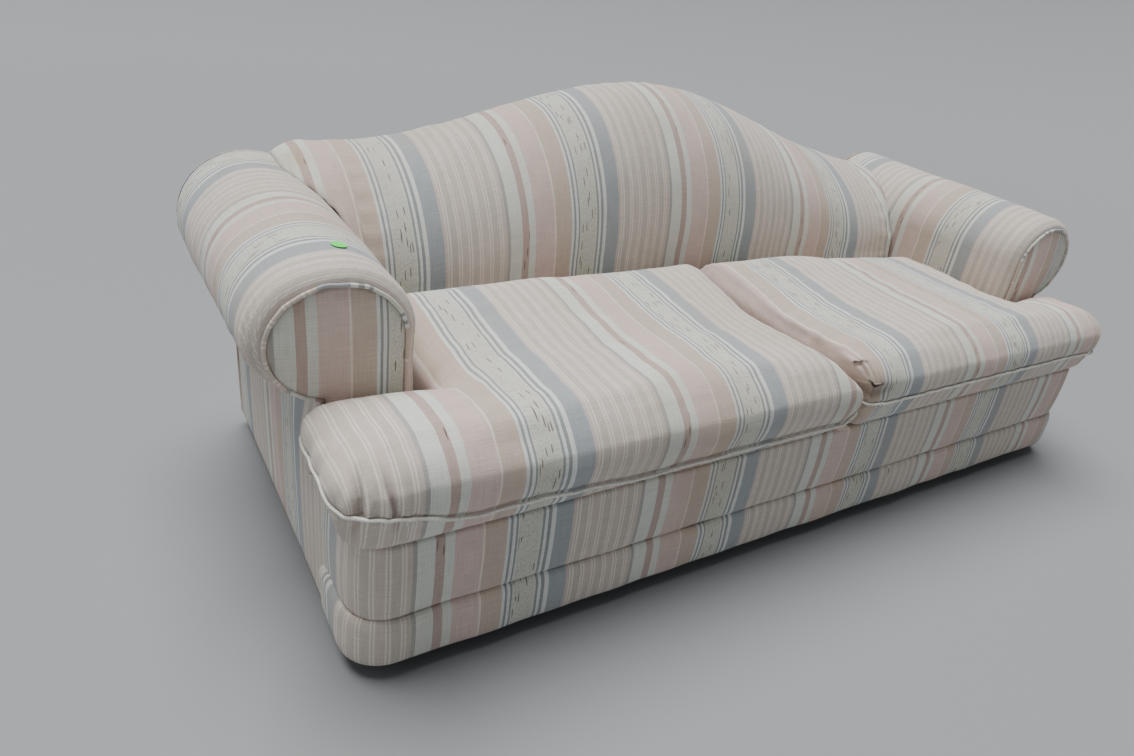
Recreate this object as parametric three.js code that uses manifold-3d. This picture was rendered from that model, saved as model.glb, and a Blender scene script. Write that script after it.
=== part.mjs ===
// A camelback sofa with rolled arms, a tight back and two loose T-shaped seat cushions.
// Millimetres, +Z up. The sofa faces -Y, its length runs along X, and the origin is on
// the floor at the middle of its footprint.
import * as THREE from 'three';
import { mergeVertices } from 'three/addons/utils/BufferGeometryUtils.js';
import Module from 'manifold-3d';

const wasm = await Module();
wasm.setup();

// ---------------------------------------------------------------- driving dimensions
const GAP = 0.4;                 // clearance between pieces that touch

const BASE_HALF = 1030;          // half the length of the box below the arms
const FRONT_Y = -430;            // front face of the base
const REAR_Y = 457;              // rear face of the outside back
const FOOT_H = 31;               // clearance under the base
const BAND_TOP = 129;            // top edge of the lower band
const BASE_TOP = 278;            // top of the seat deck
const CORNER_R = 70;             // rounded front corners of the base
const SIDE_SEAM_Y = -270;        // where the front cover stops on each side

const CUSHION_TOP = 449;
const CUSHION_FRONT_Y = -473;
const CUSHION_REAR_Y = 106;
const CUSHION_SPLIT = 8;         // half the width between the two cushion bodies
const WELT_Z = 322;              // height of the cushion's lower welt
const WELT_W = 6;
const EAR_HALF = 1056;           // half the length over the cushion ears
const EAR_GAP = 15;              // between the ear and the front of its arm

const ARM_INNER = 836;           // inside face of each arm
const ARM_FRONT_Y = -196;        // front end of the left arm cover
const RIGHT_ARM_FORWARD = 38;    // how much further forward the right arm ends
const ARM_REAR_Y = 451;
// The roll is an oval, flatter below, and swells towards the rear. The welt on its front
// follows a smaller oval and comes back in to a straight stump.
const ROLL_FRONT = { x: 984, z: 520, half: 138, up: 121.5, down: 107 };
const ROLL_REAR = { x: 984, z: 516, half: 148, up: 148, down: 115 };
const PANEL = { x: 982.5, z: 515, half: 112, up: 99, down: 99 };
const STUMP_OUTER = 1009;

const CREST_END = 670;           // top of the back beside the arms
const CREST_RISE = 170;          // how far the hump rises above that
const CREST_HALF = 850;
const BACK_HALF = 925;
const BACK_FACE_Y = 120;         // front face of the back at the seat
const BACK_BELLY_Y = 142;        // where the upright part of the face ends
const CREST_Y = 425;
const CREST_R = 26;              // rounded rear edge of the crest

const RAIL_T = 28;               // thickness of the frame boards
const BOARD_T = 18;
const COVER_T = 2.4;             // cloth with its backing

// ---------------------------------------------------------------- materials
const paint = (color, roughness, metalness = 0) =>
  new THREE.MeshStandardMaterial({ color, roughness, metalness });
const stripedCloth = paint('#c7bcb2', 0.92);
const paleWelt = paint('#cfccc2', 0.9);
const beech = paint('#b08d62', 0.75);
const plywood = paint('#b99a6e', 0.8);
const springSteel = paint('#6f7276', 0.45, 0.9);
const burlap = paint('#9a8560', 0.95);
const cotton = paint('#d9d5ca', 0.97);
const deckCloth = paint('#8e8981', 0.95);
const dustCloth = paint('#2a2a2b', 0.95);
const footPlastic = paint('#1d1c1b', 0.55);
const greenPaper = paint('#7fe08a', 0.7);

const sofa = new THREE.Group();

function addPiece(name, geometry, material) {
  const piece = new THREE.Mesh(geometry, material);
  piece.name = name;
  sofa.add(piece);
  return piece;
}

function addBox(name, [x0, x1], [y0, y1], [z0, z1], material) {
  const piece = addPiece(name, new THREE.BoxGeometry(x1 - x0, y1 - y0, z1 - z0), material);
  piece.position.set((x0 + x1) / 2, (y0 + y1) / 2, (z0 + z1) / 2);
  return piece;
}

// ---------------------------------------------------------------- shape helpers
const point2 = (x, y) => new THREE.Vector2(x, y);

// A closed body through rings of equal length; flat() gives the plane used for the end caps.
function loft(rings, flat) {
  const size = rings[0].length;
  const positions = rings.flat().flatMap((v) => [v.x, v.y, v.z]);
  const index = [];
  for (let r = 0; r < rings.length - 1; r += 1) {
    for (let k = 0; k < size; k += 1) {
      const a = r * size + k;
      const b = r * size + ((k + 1) % size);
      index.push(a, b, b + size, a, b + size, a + size);
    }
  }
  // A cap at the first ring runs against the ring, and the one at the last ring runs with it.
  const addCap = (ring, first, withRing) => {
    const outline = ring.map(flat);
    const turn = Math.sign(THREE.ShapeUtils.area(outline));
    THREE.ShapeUtils.triangulateShape(outline, []).forEach(([a, b, c]) => {
      const area = THREE.ShapeUtils.area([outline[a], outline[b], outline[c]]);
      const order = (Math.sign(area) === turn) === withRing ? [a, b, c] : [a, c, b];
      index.push(...order.map((k) => first + k));
    });
  };
  addCap(rings[0], 0, false);
  addCap(rings.at(-1), (rings.length - 1) * size, true);
  return outward(new THREE.BufferGeometry()
    .setAttribute('position', new THREE.Float32BufferAttribute(positions, 3))
    .setIndex(index));
}

// Turns a closed mesh inside out when its signed volume is negative.
function outward(geometry) {
  const p = geometry.getAttribute('position');
  const index = geometry.getIndex().array;
  const [a, b, c] = [new THREE.Vector3(), new THREE.Vector3(), new THREE.Vector3()];
  let volume = 0;
  for (let i = 0; i < index.length; i += 3) {
    a.fromBufferAttribute(p, index[i]);
    b.fromBufferAttribute(p, index[i + 1]);
    c.fromBufferAttribute(p, index[i + 2]);
    volume += a.dot(b.cross(c));
  }
  if (volume < 0) {
    for (let i = 0; i < index.length; i += 3) {
      [index[i + 1], index[i + 2]] = [index[i + 2], index[i + 1]];
    }
  }
  geometry.computeVertexNormals();
  return geometry;
}

function extrudeZ(outline, z0, z1, holes = []) {
  const shape = new THREE.Shape(THREE.ShapeUtils.isClockWise(outline) ? [...outline].reverse() : outline);
  shape.holes = holes.map((hole) => new THREE.Path(hole));
  return new THREE.ExtrudeGeometry(shape, { depth: z1 - z0, bevelEnabled: false })
    .translate(0, 0, z0);
}

// An outline drawn in X and Z, made thick along Y.
function extrudeY(outline, y0, y1) {
  return new THREE.ExtrudeGeometry(new THREE.Shape(outline), { depth: y1 - y0, bevelEnabled: false })
    .rotateX(Math.PI / 2)
    .translate(0, y1, 0);
}

// An outline drawn in Y and Z, made thick along X.
function extrudeX(outline, x0, x1) {
  const turn = new THREE.Matrix4().makeBasis(
    new THREE.Vector3(0, 1, 0), new THREE.Vector3(0, 0, 1), new THREE.Vector3(1, 0, 0));
  return new THREE.ExtrudeGeometry(new THREE.Shape(outline), { depth: x1 - x0, bevelEnabled: false })
    .applyMatrix4(turn)
    .translate(x0, 0, 0);
}

// Points on an arc, in degrees, end points included.
function arc(cx, cy, r, from, to, steps) {
  return Array.from({ length: steps + 1 }, (_, i) => {
    const angle = THREE.MathUtils.degToRad(from + ((to - from) * i) / steps);
    return point2(cx + r * Math.cos(angle), cy + r * Math.sin(angle));
  });
}

// Moves an open line sideways, with mitred corners.
function offsetLine(line, distance) {
  return line.map((point, i) => {
    const before = line[Math.max(i - 1, 0)];
    const after = line[Math.min(i + 1, line.length - 1)];
    const d1 = point.clone().sub(i > 0 ? before : point);
    const d2 = after.clone().sub(point);
    if (i === 0) d1.copy(d2);
    if (i === line.length - 1) d2.copy(d1);
    const n1 = point2(-d1.y, d1.x).normalize();
    const n2 = point2(-d2.y, d2.x).normalize();
    const miter = n1.clone().add(n2).normalize();
    return point.clone().addScaledVector(miter, distance / miter.dot(n1));
  });
}

// A strip between two offsets of the same line.
const strip = (line, near, far) =>
  [...offsetLine(line, near), ...offsetLine(line, far).reverse()];

const mirrored = (outline, side) => outline.map((v) => point2(v.x * side, v.y));

function toManifold(geometry) {
  const bare = geometry.clone();
  bare.deleteAttribute('normal');
  bare.deleteAttribute('uv');
  const merged = mergeVertices(bare, 1e-3);
  return new wasm.Manifold(new wasm.Mesh({
    numProp: 3,
    vertProperties: new Float32Array(merged.getAttribute('position').array),
    triVerts: new Uint32Array(merged.getIndex().array),
  }));
}

function fromManifold(solid) {
  const { vertProperties, triVerts } = solid.getMesh();
  const geometry = new THREE.BufferGeometry()
    .setAttribute('position', new THREE.Float32BufferAttribute(vertProperties, 3))
    .setIndex(new THREE.Uint32BufferAttribute(triVerts, 1));
  geometry.computeVertexNormals();
  return geometry;
}

// ---------------------------------------------------------------- seat frame
const railFront = FRONT_Y + 8;
const railRear = REAR_Y - 12;
const RAIL_Z = [FOOT_H + 8, 236];
const sideRailX = BASE_HALF - 12;
addBox('front_seat_rail', [-BASE_HALF + CORNER_R, BASE_HALF - CORNER_R],
  [railFront, railFront + RAIL_T], [RAIL_Z[0], BASE_TOP - 4], beech);
addBox('rear_seat_rail', [-BASE_HALF + CORNER_R, BASE_HALF - CORNER_R],
  [railRear - RAIL_T, railRear], RAIL_Z, beech);
addBox('centre_stretcher', [-RAIL_T / 2, RAIL_T / 2],
  [railFront + RAIL_T + GAP, railRear - RAIL_T - GAP], [RAIL_Z[0], 150], beech);

for (const [word, side] of [['left', -1], ['right', 1]]) {
  const span = (a, b) => (side > 0 ? [a, b] : [-b, -a]);
  addBox(`${word}_side_rail`, span(sideRailX - RAIL_T, sideRailX),
    [railFront + CORNER_R, railRear - CORNER_R], RAIL_Z, beech);
  for (const [end, y0, y1] of [['front', railFront + RAIL_T + GAP, railFront + CORNER_R - GAP],
    ['rear', railRear - CORNER_R + GAP, railRear - RAIL_T - GAP]]) {
    const blockX = sideRailX - RAIL_T;
    addBox(`${end}_${word}_corner_block`, span(blockX - 96, blockX), [y0, y1],
      [FOOT_H + 10, 200], beech);
  }
}

// ---------------------------------------------------------------- feet
const FOOT_R = 18;
const footPlaces = [['front', railFront + 50], ['rear', railRear - 50]];
for (const [end, y] of footPlaces) {
  for (const [word, x] of [['left', -930], ['right', 930]]) {
    const foot = new THREE.CylinderGeometry(FOOT_R, FOOT_R - 4, FOOT_H + 9.4, 20);
    addPiece(`${end}_${word}_foot`, foot.rotateX(Math.PI / 2), footPlastic)
      .position.set(x, y, (FOOT_H + 9.4) / 2);
  }
}
addBox('centre_foot', [-20, 20], [-60, -20], [0, RAIL_Z[0] - GAP], footPlastic);

// ---------------------------------------------------------------- dust cover
const dustHoles = footPlaces.flatMap(([, y]) =>
  [-930, 930].map((x) => arc(x, y, FOOT_R + 2, 0, 345, 23)));
dustHoles.push([point2(-23, -63), point2(23, -63), point2(23, -17), point2(-23, -17)]);
const DUST_X = BASE_HALF - 30;
addPiece('dust_cover', extrudeZ([
  point2(-DUST_X + 40, railFront + 4), point2(DUST_X - 40, railFront + 4), point2(DUST_X, railFront + 52),
  point2(DUST_X, railRear - 4), point2(-DUST_X, railRear - 4), point2(-DUST_X, railFront + 52),
], FOOT_H + 5, FOOT_H + 7, dustHoles), dustCloth);

// ---------------------------------------------------------------- seat springs
const SPRING_W = 26;
const SPRING_PITCH = 31;
const WIRE = 3.6;
const springXs = [-700, -450, -200, 200, 450, 700];
function sinuousSpring() {
  const start = railFront + RAIL_T + 24;
  const count = 24;
  const line = Array.from({ length: count }, (_, k) => {
    const y = start + k * SPRING_PITCH;
    const x = k % 2 ? SPRING_W : -SPRING_W;
    return [point2(x, y - SPRING_PITCH * 0.24), point2(x, y + SPRING_PITCH * 0.24)];
  }).flat();
  line.unshift(point2(-SPRING_W, railFront + RAIL_T + 1));
  line.push(point2(SPRING_W, railRear - RAIL_T - 1));
  return extrudeZ(strip(line, -WIRE / 2, WIRE / 2), 0, WIRE);
}
springXs.forEach((x, i) => {
  addPiece(`seat_spring_${i + 1}`, sinuousSpring(), springSteel).position.set(x, 0, 226);
});

// ---------------------------------------------------------------- seat deck
const armFront = (side) => ARM_FRONT_Y - (side > 0 ? RIGHT_ARM_FORWARD : 0);
const deckX = ARM_INNER - 6;
addBox('seat_burlap', [-deckX, deckX], [railFront + RAIL_T + 1, 396], [242, 243.6], burlap);
addBox('deck_pad', [-deckX, deckX], [railFront + RAIL_T + 1, 396], [244.2, BASE_TOP - 4.2], cotton);

// The deck cloth spans the seat between the arms and the two ears in front of them.
const deckEar = BASE_HALF - 16;
addPiece('deck_cover', extrudeZ([
  point2(-deckEar, FRONT_Y + 34), point2(deckEar, FRONT_Y + 34), point2(deckEar, armFront(1) - 8),
  point2(deckX, armFront(1) - 8), point2(deckX, 396), point2(-deckX, 396),
  point2(-deckX, ARM_FRONT_Y - 8), point2(-deckEar, ARM_FRONT_Y - 8),
], BASE_TOP - 3.6, BASE_TOP - 1.2), deckCloth);

// ---------------------------------------------------------------- front cover and lower band
// Both wrap the rounded front corners and stop at a seam on each side.
function wrapLine(half, front, radius) {
  return [
    point2(-half, SIDE_SEAM_Y),
    ...arc(-half + radius, front + radius, radius, 180, 270, 6),
    ...arc(half - radius, front + radius, radius, 270, 360, 6),
    point2(half, SIDE_SEAM_Y),
  ];
}
addPiece('front_cover', extrudeZ(
  strip(wrapLine(BASE_HALF, FRONT_Y + 3, CORNER_R), 0, 2.6), BAND_TOP + GAP, BASE_TOP), stripedCloth);
addPiece('lower_band', extrudeZ(
  strip(wrapLine(BASE_HALF + 5, FRONT_Y - 2, CORNER_R + 5), 0, 6.4), FOOT_H, BAND_TOP), stripedCloth);

// ---------------------------------------------------------------- arms
// Cross-section of the arm cover, drawn for the arm at +X: up the inside face, over the roll
// and round to the place where it tucks under.
const TUCK_ANGLE = -76;
const oval = (shape, grow, from, to, steps) => arc(0, 0, 1, from, to, steps).map((v) => point2(
  shape.x + (shape.half + grow) * v.x,
  shape.z + ((v.y > 0 ? shape.up : shape.down) + grow) * v.y));
const rollLine = (roll, shrink) => [
  point2(roll.x - roll.half + shrink, BASE_TOP + 4),
  ...oval(roll, -shrink, 180, TUCK_ANGLE, 18),
];
const PAD_T = 34;
const rollAt = (y, line) => line.map((v) => new THREE.Vector3(v.x, y, v.y));
const flatXZ = (v) => point2(v.x, v.z);
const flatYZ = (v) => point2(v.y, v.z);

const rollShape = (y) => {
  const t = (y - ARM_FRONT_Y) / (ARM_REAR_Y - ARM_FRONT_Y);
  return Object.fromEntries(Object.keys(ROLL_FRONT).map((key) =>
    [key, THREE.MathUtils.lerp(ROLL_FRONT[key], ROLL_REAR[key], t)]));
};
const ROLL_STATIONS = [-90, 20, 130, 240, 350];

function rollShell(side, y0, outer, inner) {
  const ring = (y) => rollAt(y, mirrored([
    ...rollLine(rollShape(y), outer),
    ...rollLine(rollShape(y), inner).reverse(),
  ], side));
  return loft([y0, ...ROLL_STATIONS, ARM_REAR_Y].map(ring), flatXZ);
}

// The front panel and its board: an oval head on a straight stump, down to the deck.
function keyhole(grow, bottom) {
  const half = PANEL.half + grow;
  const outer = STUMP_OUTER + grow;
  const sink = -THREE.MathUtils.radToDeg(Math.acos((outer - PANEL.x) / half));
  return [
    point2(PANEL.x - half, bottom),
    ...oval(PANEL, grow, 180, sink, 18),
    point2(outer, bottom),
  ];
}

const BOARD_INSET = 8;
const PANEL_INSET = 5;
const WELT_HALF = 4;
const PANEL_PROUD = 4;           // the padded panel and then its welt stand forward of the arm
const WELT_PROUD = 6.5;
const SIDE_TOP_FRONT = 417;      // top edge of the outside panel, under the roll
const SIDE_TOP_REAR = 403;

for (const [word, side] of [['left', -1], ['right', 1]]) {
  const span = (a, b) => (side > 0 ? [a, b] : [-b, -a]);
  const front = armFront(side);
  const frameFront = front + BOARD_T + GAP;
  const boardOutline = keyhole(-BOARD_INSET, 242);
  const panelOutline = keyhole(-PANEL_INSET, BASE_TOP + 2);
  addPiece(`${word}_arm_front_board`,
    extrudeY(mirrored(boardOutline, side), front, front + BOARD_T), plywood);
  addPiece(`${word}_arm_front_panel`,
    extrudeY(mirrored(panelOutline, side), front - PANEL_PROUD, front - GAP), stripedCloth);

  const weltOutline = strip(keyhole(0, BASE_TOP + 6), -WELT_HALF, WELT_HALF);
  addPiece(`${word}_arm_front_welt`,
    extrudeY(mirrored(weltOutline, side), front - WELT_PROUD, front - GAP), paleWelt);

  addBox(`${word}_arm_front_post`, span(900, 960),
    [frameFront, front + BOARD_T + RAIL_T], [242, 480], beech);
  addBox(`${word}_arm_rear_post`, span(900, 960), [380, 380 + RAIL_T], [242, 480], beech);
  addBox(`${word}_arm_top_rail`, span(912, 1034),
    [frameFront, 440], [480 + GAP, 502], beech);
  addBox(`${word}_arm_tack_rail`, span(934, 960),
    [front + BOARD_T + RAIL_T + GAP, 380 - GAP], [242, 300], beech);

  addPiece(`${word}_arm_pad`,
    rollShell(side, frameFront, COVER_T + GAP, PAD_T), cotton);
  addPiece(`${word}_arm_cover`, rollShell(side, front, 0, COVER_T), stripedCloth);

  const panelRear = REAR_Y - COVER_T - GAP;
  const sideOutline = [
    point2(SIDE_SEAM_Y + GAP, FOOT_H), point2(panelRear, FOOT_H), point2(panelRear, SIDE_TOP_REAR),
    point2(front, SIDE_TOP_FRONT), point2(front, BASE_TOP), point2(SIDE_SEAM_Y + GAP, BASE_TOP),
  ];
  const [x0, x1] = span(BASE_HALF - COVER_T, BASE_HALF);
  addPiece(`${word}_outside_arm_panel`, extrudeX(sideOutline, x0, x1), stripedCloth);
}

// ---------------------------------------------------------------- back
const crest = (x) => CREST_END
  + CREST_RISE * (0.5 + 0.5 * Math.cos((Math.PI * Math.min(Math.abs(x), CREST_HALF)) / CREST_HALF));
const backXs = Array.from({ length: 21 }, (_, i) => -BACK_HALF + (2 * BACK_HALF * i) / 20);

// The front of the back as a line in Y and Z: nearly upright at the seat, then a quarter of an
// oval up to the crest, and down behind the top rail.
const SPRING_Z = 438.5;           // where the oval starts beside the arms, and its share of the hump
const SPRING_SHARE = 0.35;
function backFace(x, shrink) {
  const top = crest(x);
  const spring = SPRING_Z + SPRING_SHARE * (top - CREST_END);
  const rise = arc(0, 0, 1, 180, 90, 7).map((v) =>
    point2(CREST_Y + (CREST_Y - BACK_BELLY_Y) * v.x, spring + (top - spring) * v.y));
  const line = [
    point2(BACK_FACE_Y, BASE_TOP + 8), point2(BACK_FACE_Y + 8, 350), point2(BACK_FACE_Y + 17, 420),
    ...rise, ...arc(CREST_Y, top - CREST_R, CREST_R, 90, 0, 4).slice(1),
    point2(CREST_Y + CREST_R, top - 120),
  ];
  return offsetLine(line, -shrink);
}

// What each arm takes out of the back: its inside face and everything outside that.
const ARM_CLEAR = 3;
function armEnvelope(side) {
  const ring = (y) => {
    const roll = rollShape(y);
    return rollAt(y, mirrored([
      point2(roll.x - roll.half - ARM_CLEAR, 100),
      ...oval(roll, ARM_CLEAR, 180, 0, 16),
      point2(roll.x + roll.half + ARM_CLEAR, 100),
    ], side));
  };
  return toManifold(loft([ARM_FRONT_Y, ...ROLL_STATIONS, ARM_REAR_Y + 1].map(ring), flatXZ));
}
const betweenArms = (geometry) => fromManifold(
  toManifold(geometry).subtract(armEnvelope(-1)).subtract(armEnvelope(1)));

const PAD_CLEAR = 4;             // room for the cover's facets over the hump
const TOP_RAIL_Y = [404, 404 + RAIL_T];
const backPadRings = backXs.map((x) => {
  const top = crest(x);
  const behind = [
    point2(TOP_RAIL_Y[1] + GAP + 2, top - 118), point2(TOP_RAIL_Y[1] + GAP + 2, top - 41),
    point2(TOP_RAIL_Y[0] - 4, top - 41), point2(TOP_RAIL_Y[0] - 4, BASE_TOP + 10),
  ];
  return [...backFace(x, COVER_T + PAD_CLEAR), ...behind].map((v) => new THREE.Vector3(x, v.x, v.y));
});
addPiece('back_pad', betweenArms(loft(backPadRings, flatYZ)), cotton);

const backCoverRings = backXs.map((x) =>
  [...backFace(x, 0), ...backFace(x, COVER_T).reverse()].map((v) => new THREE.Vector3(x, v.x, v.y)));
addPiece('inside_back_cover', betweenArms(loft(backCoverRings, flatYZ)), stripedCloth);

const railHalf = 820;
const railXs = Array.from({ length: 17 }, (_, i) => -railHalf + (2 * railHalf * i) / 16);
addPiece('back_top_rail', extrudeY([
  ...railXs.map((x) => point2(x, crest(x) - 130)),
  ...railXs.map((x) => point2(x, crest(x) - 44)).reverse(),
], ...TOP_RAIL_Y), beech);

for (const [word, x] of [['left', -railHalf + 30], ['right', railHalf - 30]]) {
  addBox(`${word}_back_post`, [x - 30, x + 30], TOP_RAIL_Y, [236 + GAP, crest(x) - 136], beech);
}
for (const [word, x] of [['left', -270], ['right', 270]]) {
  addBox(`${word}_back_upright`, [x - 24, x + 24], TOP_RAIL_Y, [236 + GAP, crest(x) - 142], beech);
}
const burlapXs = railXs.map((x) => x * 0.985);
addPiece('back_burlap', extrudeY([
  ...burlapXs.map((x) => point2(x, 290)),
  ...burlapXs.map((x) => point2(x, crest(x) - 50)).reverse(),
], TOP_RAIL_Y[0] - 2.8, TOP_RAIL_Y[0] - 1), burlap);

// One flat sheet closes the back, round the rolled ends of the arms.
const ROLL_TOP_ANGLE = 105;
const REAR_INSET = 4;
const rearSide = (side) => {
  const start = -THREE.MathUtils.radToDeg(
    Math.acos((BASE_HALF - ROLL_REAR.x) / (ROLL_REAR.half - REAR_INSET)));
  return mirrored([
    point2(BASE_HALF, FOOT_H),
    ...oval(ROLL_REAR, -REAR_INSET, start, ROLL_TOP_ANGLE, 14),
  ], side);
};
const rearTopXs = Array.from({ length: 19 }, (_, i) => 880 - (1760 * i) / 18);
addPiece('outside_back_cover', extrudeY([
  ...rearSide(1),
  ...rearTopXs.map((x) => point2(x, crest(x) - 28)),
  ...rearSide(-1).reverse(),
], REAR_Y - COVER_T, REAR_Y), stripedCloth);

// ---------------------------------------------------------------- seat cushions
// Plan of one T cushion, drawn at +X and set in from its sides by the amount given.
function cushionPlan(inset, side) {
  const inner = CUSHION_SPLIT + inset;
  const outer = EAR_HALF - inset;
  const besideArm = ARM_INNER - 10 - inset;
  const front = CUSHION_FRONT_Y + 8 + inset;
  const rear = CUSHION_REAR_Y - inset;
  const earRear = armFront(side) - EAR_GAP - inset;
  const r = 60 - inset / 2;
  return [
    point2(inner, rear), point2(inner, front + 18), point2(inner + 18, front),
    ...arc(outer - r, front + r, r, 270, 360, 5),
    point2(outer, earRear - 14), point2(outer - 14, earRear),
    point2(besideArm, earRear), point2(besideArm, rear),
  ];
}
const NOSE = 42;
for (const [word, side] of [['left', -1], ['right', 1]]) {
  const rings = [
    [BASE_TOP + 0.6, 16], [WELT_Z - 8, 4], [WELT_Z, 1], [370, -6], [408, 2], [432, 18],
    [444, NOSE], [CUSHION_TOP, NOSE * 1.9],
  ].map(([z, inset]) =>
    mirrored(cushionPlan(inset + 2, side), side).map((v) => new THREE.Vector3(v.x, v.y, z)));
  addPiece(`${word}_seat_cushion`, loft(rings, (v) => point2(v.x, v.y)), stripedCloth);

  const weltOuter = mirrored(cushionPlan(-WELT_W, side), side);
  const weltInner = mirrored(cushionPlan(0, side), side);
  addPiece(`${word}_cushion_welt`,
    extrudeZ(weltOuter, WELT_Z - 3.5, WELT_Z + 3.5, [weltInner]), paleWelt);
}

// ---------------------------------------------------------------- sticker on the left arm
// A small blank disc of paper lying on the crown of the roll, tilted to the roll's surface.
const STICKER_R = 13;
const rollRise = ROLL_REAR.z + ROLL_REAR.up - ROLL_FRONT.z - ROLL_FRONT.up;
const stickerSlope = rollRise / (ARM_REAR_Y - ARM_FRONT_Y);
const disc = new THREE.CylinderGeometry(STICKER_R, STICKER_R, 0.5, 20).rotateX(Math.PI / 2);
const stickerPiece = addPiece('arm_sticker', disc, greenPaper);
stickerPiece.position.set(-953, -106, 643.9);
stickerPiece.rotation.set(stickerSlope, 0.152, 0);

export default sofa;
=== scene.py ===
import math

import bmesh
import bpy
import numpy as np
from mathutils import Matrix, Vector
from mathutils.bvhtree import BVHTree


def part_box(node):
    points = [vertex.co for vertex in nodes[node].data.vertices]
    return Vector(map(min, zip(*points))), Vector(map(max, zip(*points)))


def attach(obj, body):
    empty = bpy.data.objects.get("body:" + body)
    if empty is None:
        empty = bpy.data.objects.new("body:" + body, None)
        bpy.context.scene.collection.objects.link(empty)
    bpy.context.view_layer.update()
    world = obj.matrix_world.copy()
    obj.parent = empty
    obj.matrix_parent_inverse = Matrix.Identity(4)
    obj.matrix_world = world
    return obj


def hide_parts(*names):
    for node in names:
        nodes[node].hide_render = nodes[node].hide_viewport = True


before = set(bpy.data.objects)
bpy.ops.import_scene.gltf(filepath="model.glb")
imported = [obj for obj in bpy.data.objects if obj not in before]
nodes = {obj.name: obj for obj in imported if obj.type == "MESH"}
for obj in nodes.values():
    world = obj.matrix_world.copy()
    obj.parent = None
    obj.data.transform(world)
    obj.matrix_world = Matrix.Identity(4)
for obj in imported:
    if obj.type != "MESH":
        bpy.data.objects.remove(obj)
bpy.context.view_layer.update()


# ------------ camera
# Stands just in front of the arm at -X, a little above it, and looks down along the seat.
CAMERA_PLACE = Vector((-1.301, -1.295, 1.077))
CAMERA_YAW = 0.6064
CAMERA_PITCH = 0.4812
CAMERA_ROLL = 0.1422
CAMERA_LENS = 24.66


def put(name, data):
    """A new object, linked into the scene."""
    made = bpy.data.objects.new(name, data)
    bpy.context.scene.collection.objects.link(made)
    return made


ahead = Vector((math.sin(CAMERA_YAW) * math.cos(CAMERA_PITCH),
                math.cos(CAMERA_YAW) * math.cos(CAMERA_PITCH), -math.sin(CAMERA_PITCH)))
level = Vector((math.cos(CAMERA_YAW), -math.sin(CAMERA_YAW), 0))
above = level.cross(ahead)
across = level * math.cos(CAMERA_ROLL) + above * math.sin(CAMERA_ROLL)
upward = above * math.cos(CAMERA_ROLL) - level * math.sin(CAMERA_ROLL)
camera_data = bpy.data.cameras.new("camera")
camera_data.lens = CAMERA_LENS
camera_data.sensor_width = 36
camera = put("camera", camera_data)
turn = Matrix((across, upward, -ahead)).transposed().to_4x4()
camera.matrix_world = Matrix.Translation(CAMERA_PLACE) @ turn
bpy.context.scene.camera = camera


# ------------ frame boards
# Sawn beech boards, glued and doweled, which carry the springs, the arms and the back.
# Beech is pale tan with short darker flecks along the grain.
def srgb(code):
    parts = [int(code[k:k + 2], 16) / 255 for k in (1, 3, 5)]
    linear = [c / 12.92 if c <= 0.04045 else ((c + 0.055) / 1.055) ** 2.4 for c in parts]
    return (*linear, 1.0)


def add(tree, kind, inputs=None, **settings):
    """A shader node with its settings made and its inputs linked or filled in."""
    made = tree.nodes.new("ShaderNode" + kind)
    for name, value in settings.items():
        setattr(made, name, value)
    for socket, value in (inputs or {}).items():
        target = made.inputs[socket]
        if isinstance(value, bpy.types.NodeSocket):
            tree.links.new(value, target)
        else:
            target.default_value = value
    return made


def new_material(name, looks):
    material = bpy.data.materials.new(name)
    material.use_nodes = True
    tree = material.node_tree
    tree.nodes.clear()
    shader = add(tree, "BsdfPrincipled", looks)
    add(tree, "OutputMaterial", {"Surface": shader.outputs[0]})
    return material, tree, shader


def grained(name, dark, light, scale, roughness, bump, stretch=(1, 1, 1), metallic=0.0):
    """A material of two tones mixed by a stretched noise, with the same noise as relief."""
    material, tree, shader = new_material(name, {"Roughness": roughness, "Metallic": metallic})
    place = add(tree, "TexCoord")
    mapping = add(tree, "Mapping", {"Vector": place.outputs["Object"], "Scale": stretch})
    noise = add(tree, "TexNoise",
                {"Vector": mapping.outputs[0], "Scale": scale, "Detail": 5.0, "Roughness": 0.6})
    ramp = add(tree, "ValToRGB", {"Fac": noise.outputs[0]})
    for stop, place, tone in zip(ramp.color_ramp.elements, (0.35, 0.68), (dark, light)):
        stop.position = place
        stop.color = srgb(tone)
    relief = add(tree, "Bump",
                 {"Height": noise.outputs[0], "Strength": bump, "Distance": 0.001})
    tree.links.new(ramp.outputs[0], shader.inputs["Base Color"])
    tree.links.new(relief.outputs[0], shader.inputs["Normal"])
    return material


def dress(material, *names):
    for name in names:
        nodes[name].data.materials.clear()
        nodes[name].data.materials.append(material)


SIDES = (("left", -1), ("right", 1))
beech = grained("sawn beech", "#A07B4F", "#C39E70", 30.0, 0.7, 0.3, stretch=(1, 1, 9))
dress(beech, "front_seat_rail", "rear_seat_rail", "centre_stretcher", "back_top_rail")
for word, _ in SIDES:
    dress(beech, f"{word}_side_rail", f"front_{word}_corner_block", f"rear_{word}_corner_block",
          f"{word}_arm_front_post", f"{word}_arm_rear_post", f"{word}_arm_top_rail",
          f"{word}_arm_tack_rail", f"{word}_back_post", f"{word}_back_upright")

# The round-headed boards at the arm fronts are plywood, paler, with a flatter figure.
dress(grained("sanded plywood", "#B0905F", "#CFB283", 18.0, 0.75, 0.2, stretch=(1, 1, 4)),
      "left_arm_front_board", "right_arm_front_board")


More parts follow.
